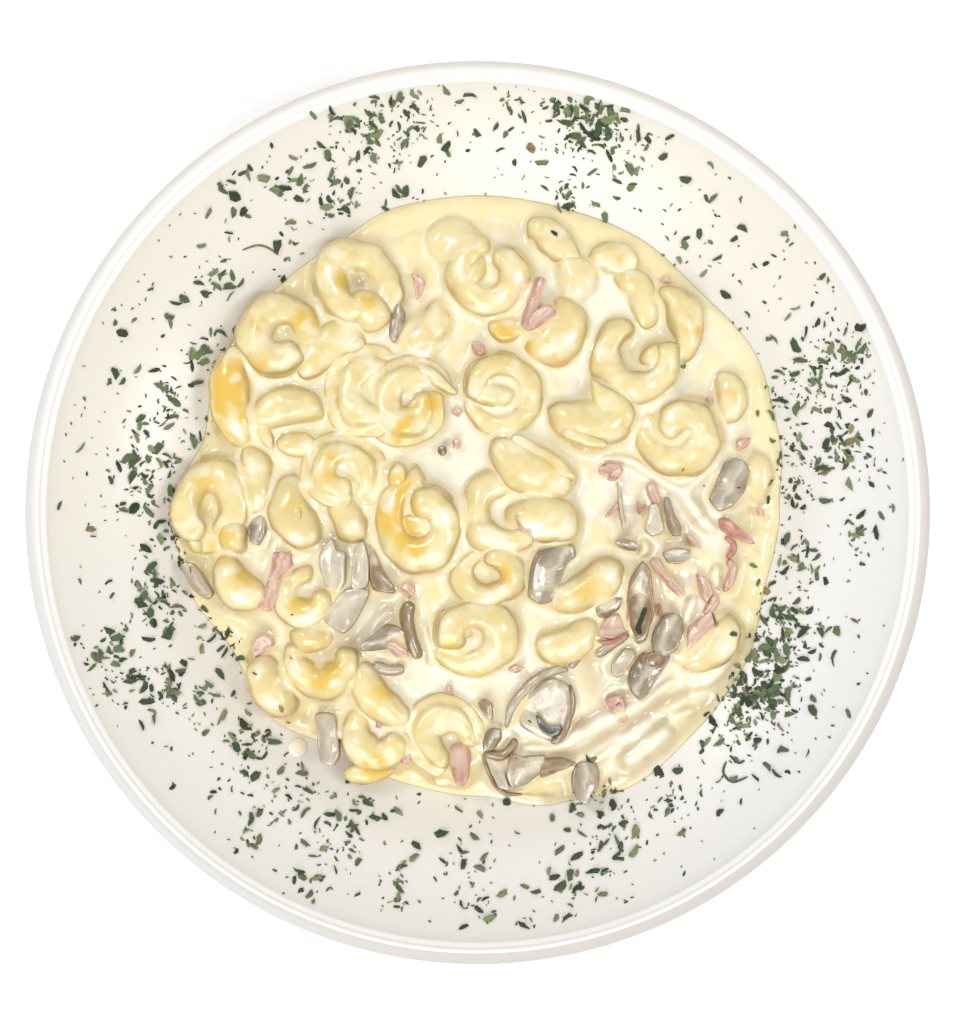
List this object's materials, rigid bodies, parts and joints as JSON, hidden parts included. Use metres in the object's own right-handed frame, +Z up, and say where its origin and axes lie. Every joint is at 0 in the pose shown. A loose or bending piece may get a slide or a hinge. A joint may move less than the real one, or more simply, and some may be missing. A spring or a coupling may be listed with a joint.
{
  "type": "bowl of cappelletti",
  "caption": "Round shallow pasta bowl filled with curled cappelletti in white cream sauce, with mushroom slices, ham strips and dried parsley.",
  "frame": {"origin": "middle of the foot ring, on the table", "axes": "+Z up; +X to the right and +Y away from the viewer, as the picture shows the bowl from above"},
  "size_m": [0.28, 0.28, 0.0388],
  "materials": {
    "glazed_ceramic": "white glossy glaze, with dried parsley flakes on the wall",
    "cream": "thick glossy cream",
    "pasta": "soft yellow egg dough coated in cream",
    "mushroom": "wet grey-brown slices",
    "ham": "wet pink strips"
  },
  "bodies": {
    "root": {"dish": "glazed_ceramic", "cream_sauce": "cream", "cappelletti_heap": "pasta", "mushroom_01": "mushroom", "mushroom_02": "mushroom", "mushroom_03": "mushroom", "mushroom_04": "mushroom", "mushroom_05": "mushroom", "mushroom_06": "mushroom", "mushroom_07": "mushroom", "mushroom_08": "mushroom", "mushroom_09": "mushroom", "mushroom_10": "mushroom", "mushroom_11": "mushroom", "mushroom_12": "mushroom", "mushroom_13": "mushroom", "mushroom_14": "mushroom", "mushroom_15": "mushroom", "mushroom_16": "mushroom", "mushroom_17": "mushroom", "ham_01": "ham", "ham_02": "ham", "ham_03": "ham", "ham_04": "ham", "ham_05": "ham", "ham_06": "ham", "ham_07": "ham", "ham_08": "ham", "ham_09": "ham", "ham_10": "ham"}
  },
  "joints": []
}
